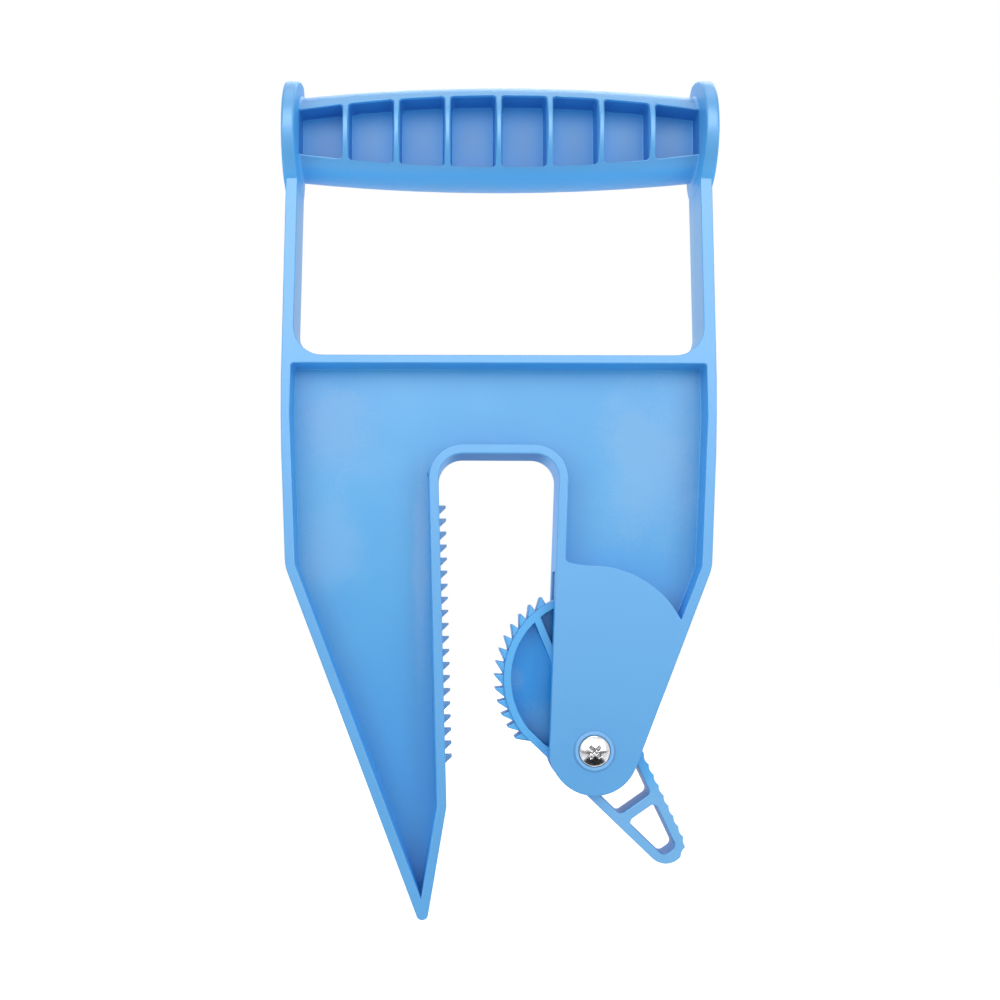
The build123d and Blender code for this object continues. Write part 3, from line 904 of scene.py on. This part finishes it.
# Camera: place, angles in degrees, lens in millimetres and shift
CAMERA_PLACE = (-0.0158, -0.380, -0.1421)
CAMERA_PITCH = 3.8
CAMERA_ROLL = 0.28
CAMERA_YAW = 0.73
CAMERA_LENS = 46.84
CAMERA_SENSOR = 36.0
CAMERA_SHIFT = (0.0737, 0.0316)


def seen_rays(tree):
    """1 for what the camera sees, directly, in gloss or through glass, and 0 for light."""
    rays = node(tree, "ShaderNodeLightPath").outputs
    seen = maths(tree, "MAXIMUM", rays["Is Camera Ray"], rays["Is Glossy Ray"])
    return maths(tree, "MAXIMUM", seen, rays["Is Transmission Ray"])


def stage_plane(name, middle, height, size):
    """A flat plane of the stage."""
    bpy.ops.mesh.primitive_plane_add(size=1.0, location=(*middle, height))
    plane = bpy.context.object
    plane.name = name
    plane.scale = (*size, 1.0)
    bpy.ops.object.transform_apply(location=True, rotation=True, scale=True)
    return plane


def bare_material(plane):
    """Gives a plane a material with no shader yet. Returns its nodes and the input for its surface."""
    material = bpy.data.materials.new(plane.name)
    material.use_nodes = True
    tree = material.node_tree
    tree.nodes.remove(tree.nodes["Principled BSDF"])
    plane.data.materials.append(material)
    return tree, tree.nodes["Material Output"].inputs["Surface"]


def make_floor():
    """A pale floor just under the lowest reach of the lever. Seen by the camera it is lifted to white."""
    floor = stage_plane("floor", (0.0, 0.0), FLOOR_HEIGHT, (FLOOR_SIZE, FLOOR_SIZE))
    tree, surface = bare_material(floor)
    paper = node(tree, "ShaderNodeBsdfDiffuse")
    paper.inputs["Color"].default_value = PAPER
    lift = node(tree, "ShaderNodeEmission")
    lift.inputs["Color"].default_value = WHITE
    wire(tree, maths(tree, "MULTIPLY", seen_rays(tree), FLOOR_LIFT), lift.inputs["Strength"])
    both = node(tree, "ShaderNodeAddShader")
    wire(tree, paper.outputs[0], both.inputs[0])
    wire(tree, lift.outputs[0], both.inputs[1])
    wire(tree, both.outputs[0], surface)


def make_dark_card(name, middle, size, level):
    """A dark card on the floor in front, seen only in reflections, as the things in a room would be."""
    card = stage_plane(name, middle, FLOOR_HEIGHT + CARD_RISE, size)
    tree, surface = bare_material(card)
    card.visible_camera = False
    card.visible_diffuse = False
    card.visible_shadow = False
    paint = node(tree, "ShaderNodeEmission")
    paint.inputs["Color"].default_value = WHITE
    paint.inputs["Strength"].default_value = level
    wire(tree, paint.outputs[0], surface)


def make_world():
    """White to the camera and in reflections, softer as light."""
    world = bpy.data.worlds.new("studio")
    bpy.context.scene.world = world
    world.use_nodes = True
    tree = world.node_tree
    background = tree.nodes["Background"]
    background.inputs["Color"].default_value = WHITE
    level = maths(tree, "MULTIPLY_ADD", seen_rays(tree), 1.0 - WORLD_LIGHT, WORLD_LIGHT)
    wire(tree, level, background.inputs["Strength"])


def make_softbox(name, place, aim, size, radiance, diffuse=True, shine=True):
    """A rectangular area light turned towards a height on the object's middle line."""
    lamp = bpy.data.lights.new(name, "AREA")
    lamp.shape = "RECTANGLE"
    lamp.size, lamp.size_y = size
    lamp.energy = radiance * math.pi * size[0] * size[1]
    light = bpy.data.objects.new(name, lamp)
    bpy.context.scene.collection.objects.link(light)
    light.visible_camera = False
    light.visible_diffuse = diffuse
    light.visible_glossy = shine
    light.location = place
    towards = Vector((0.0, 0.0, aim)) - Vector(place)
    light.rotation_euler = towards.to_track_quat("-Z", "Y").to_euler()


def make_camera():
    """The photograph's viewing angle."""
    lens = bpy.data.cameras.new("camera")
    lens.lens = CAMERA_LENS
    lens.sensor_width = CAMERA_SENSOR
    lens.shift_x, lens.shift_y = CAMERA_SHIFT
    camera = bpy.data.objects.new("camera", lens)
    bpy.context.scene.collection.objects.link(camera)
    pitch = Matrix.Rotation(math.pi / 2 + math.radians(CAMERA_PITCH), 4, "X")
    roll = Matrix.Rotation(math.radians(CAMERA_ROLL), 4, "Z")
    yaw = Matrix.Rotation(math.radians(CAMERA_YAW), 4, "Z")
    camera.matrix_world = Matrix.Translation(CAMERA_PLACE) @ yaw @ pitch @ roll
    bpy.context.scene.camera = camera


make_floor()
make_dark_card("far_card", middle=(0.0, -0.45), size=(1.60, 0.60), level=0.14)
make_dark_card("near_card", middle=(0.032, -0.085), size=(0.10, 0.13), level=0.02)
make_world()
make_softbox("key", (-0.08, -0.90, 0.38), aim=-0.08, size=(1.30, 0.72), radiance=4.8, diffuse=False)
make_softbox("left", (-0.70, -0.70, 0.22), aim=-0.10, size=(0.40, 0.80), radiance=2.15)
make_softbox("right", (0.70, -0.70, 0.22), aim=-0.10, size=(0.40, 0.80), radiance=2.9)
make_softbox("low", (0.0, -0.42, -0.20), aim=-0.05, size=(1.20, 0.10), radiance=1.5, shine=False)
make_softbox("top", (0.0, -0.10, 0.80), aim=-0.05, size=(0.70, 0.50), radiance=1.8, diffuse=False)
make_softbox("back", (0.20, 0.75, 0.85), aim=-0.08, size=(1.20, 0.50), radiance=3.0, diffuse=False)
make_softbox("rear", (-0.25, 0.95, 0.25), aim=-0.10, size=(0.90, 0.90), radiance=1.6, shine=False)
make_camera()
bpy.context.scene.view_settings.view_transform = "Standard"
